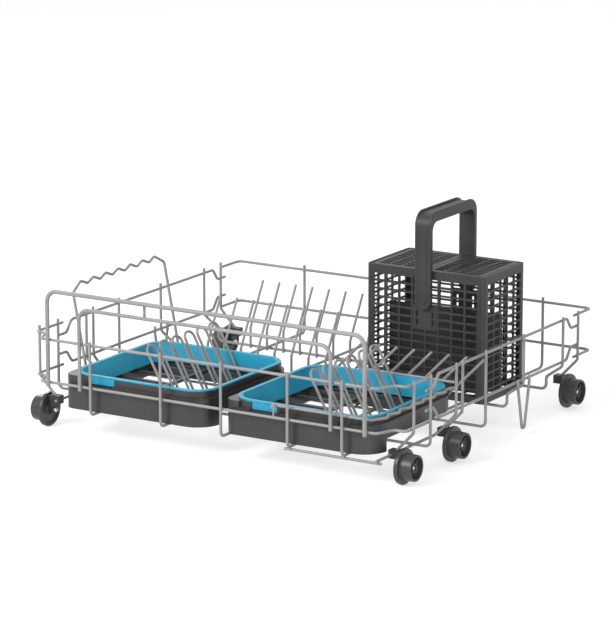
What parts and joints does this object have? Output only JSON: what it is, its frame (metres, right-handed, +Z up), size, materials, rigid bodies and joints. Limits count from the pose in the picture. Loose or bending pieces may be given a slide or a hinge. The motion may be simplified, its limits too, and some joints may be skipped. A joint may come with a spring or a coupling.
{
  "type": "dishwasher lower rack",
  "caption": "Wire dishwasher rack on rollers with folding glass holders, lift-out trays with inserts and a cutlery basket with lids and a swinging handle.",
  "frame": {"origin": "on the floor under the middle of the rack's box", "axes": "+X to the right seen from the front, +Y from the front bows to the rear, +Z up"},
  "size_m": [0.536, 0.4981, 0.2675],
  "materials": {
    "wire_coat": "satin grey nylon coating on steel wire",
    "steel": "plain steel",
    "tray_plastic": "satin dark grey moulding",
    "black_plastic": "satin charcoal moulding",
    "blue_plastic": "satin blue moulding"
  },
  "bodies": {
    "rack": {"front_rails": "wire_coat", "rear_rails": "wire_coat", "left_side_rails": "wire_coat", "right_side_rails": "wire_coat", "outer_bow": "wire_coat", "inner_bow": "wire_coat", "bow_link": "wire_coat", "lengthwise_wires": "wire_coat", "straight_cross_wires": "wire_coat", "stepped_cross_wires": "wire_coat", "front_carriers": "wire_coat", "middle_carriers": "wire_coat", "long_carriers": "wire_coat", "rear_carriers": "wire_coat", "front_floor_wire": "wire_coat", "rail_feet": "wire_coat", "front_tine_row": "wire_coat", "back_tine_row": "wire_coat", "slanted_tine_row": "wire_coat", "left_loop_tines": "wire_coat", "right_loop_tines": "wire_coat", "wheel_clips": "black_plastic", "wheel_axles": "steel", "left_holder_clips": "black_plastic", "right_holder_eyes": "wire_coat"},
    "front_left_wheel": {"front_left_wheel": "black_plastic"},
    "front_right_wheel": {"front_right_wheel": "black_plastic"},
    "middle_left_wheel": {"middle_left_wheel": "black_plastic"},
    "middle_right_wheel": {"middle_right_wheel": "black_plastic"},
    "rear_left_wheel": {"rear_left_wheel": "black_plastic"},
    "rear_right_wheel": {"rear_right_wheel": "black_plastic"},
    "left_glass_holder": {"left_glass_holder": "wire_coat"},
    "right_glass_holder": {"right_glass_holder": "wire_coat"},
    "left_tray": {"left_tray": "tray_plastic"},
    "right_tray": {"right_tray": "tray_plastic"},
    "left_insert": {"left_insert": "blue_plastic"},
    "right_insert": {"right_insert": "blue_plastic"},
    "cutlery_basket": {"cutlery_basket": "black_plastic", "basket_divider": "black_plastic", "lid_pins": "black_plastic"},
    "left_lid": {"left_lid": "black_plastic"},
    "right_lid": {"right_lid": "black_plastic"},
    "basket_handle": {"basket_handle": "black_plastic"}
  },
  "joints": [
    {"name": "front_left_wheel_spin", "type": "hinge", "parent": "rack", "child": "front_left_wheel", "pos_m": [-0.258, -0.205, 0.0215], "axis": [1, 0, 0], "continuous": true},
    {"name": "front_right_wheel_spin", "type": "hinge", "parent": "rack", "child": "front_right_wheel", "pos_m": [0.258, -0.205, 0.0215], "axis": [1, 0, 0], "continuous": true},
    {"name": "middle_left_wheel_spin", "type": "hinge", "parent": "rack", "child": "middle_left_wheel", "pos_m": [-0.258, -0.09, 0.0215], "axis": [1, 0, 0], "continuous": true},
    {"name": "middle_right_wheel_spin", "type": "hinge", "parent": "rack", "child": "middle_right_wheel", "pos_m": [0.258, -0.09, 0.0215], "axis": [1, 0, 0], "continuous": true},
    {"name": "rear_left_wheel_spin", "type": "hinge", "parent": "rack", "child": "rear_left_wheel", "pos_m": [-0.258, 0.204, 0.0215], "axis": [1, 0, 0], "continuous": true},
    {"name": "rear_right_wheel_spin", "type": "hinge", "parent": "rack", "child": "rear_right_wheel", "pos_m": [0.258, 0.204, 0.0215], "axis": [1, 0, 0], "continuous": true},
    {"name": "left_holder_fold", "type": "hinge", "parent": "rack", "child": "left_glass_holder", "pos_m": [-0.225, -0.054, 0.041], "axis": [0, -1, 0], "range_deg": [-28, 0]},
    {"name": "right_holder_raise", "type": "hinge", "parent": "rack", "child": "right_glass_holder", "pos_m": [0.096, -0.137, 0.081], "axis": [0, 1, 0], "range_deg": [-90, 0]},
    {"name": "left_tray_lift", "type": "slide", "parent": "rack", "child": "left_tray", "axis": [0, 0, 1], "range_m": [0, 0.095]},
    {"name": "right_tray_lift", "type": "slide", "parent": "rack", "child": "right_tray", "axis": [0, 0, 1], "range_m": [0, 0.095]},
    {"name": "left_insert_lift", "type": "slide", "parent": "left_tray", "child": "left_insert", "axis": [0, 0, 1], "range_m": [0, 0.06]},
    {"name": "right_insert_lift", "type": "slide", "parent": "right_tray", "child": "right_insert", "axis": [0, 0, 1], "range_m": [0, 0.06]},
    {"name": "basket_lift", "type": "slide", "parent": "rack", "child": "cutlery_basket", "axis": [0, 0, 1], "range_m": [0, 0.16]},
    {"name": "basket_handle_swing", "type": "hinge", "parent": "cutlery_basket", "child": "basket_handle", "pos_m": [0.1395, 0.0885, 0.15745], "axis": [0, 1, 0], "range_deg": [-80, 80]},
    {"name": "left_lid_open", "type": "hinge", "parent": "cutlery_basket", "child": "left_lid", "pos_m": [0.0635, 0.0885, 0.19145], "axis": [0, -1, 0], "range_deg": [0, 93]},
    {"name": "right_lid_open", "type": "hinge", "parent": "cutlery_basket", "child": "right_lid", "pos_m": [0.2155, 0.0885, 0.19145], "axis": [0, 1, 0], "range_deg": [0, 93]}
  ]
}
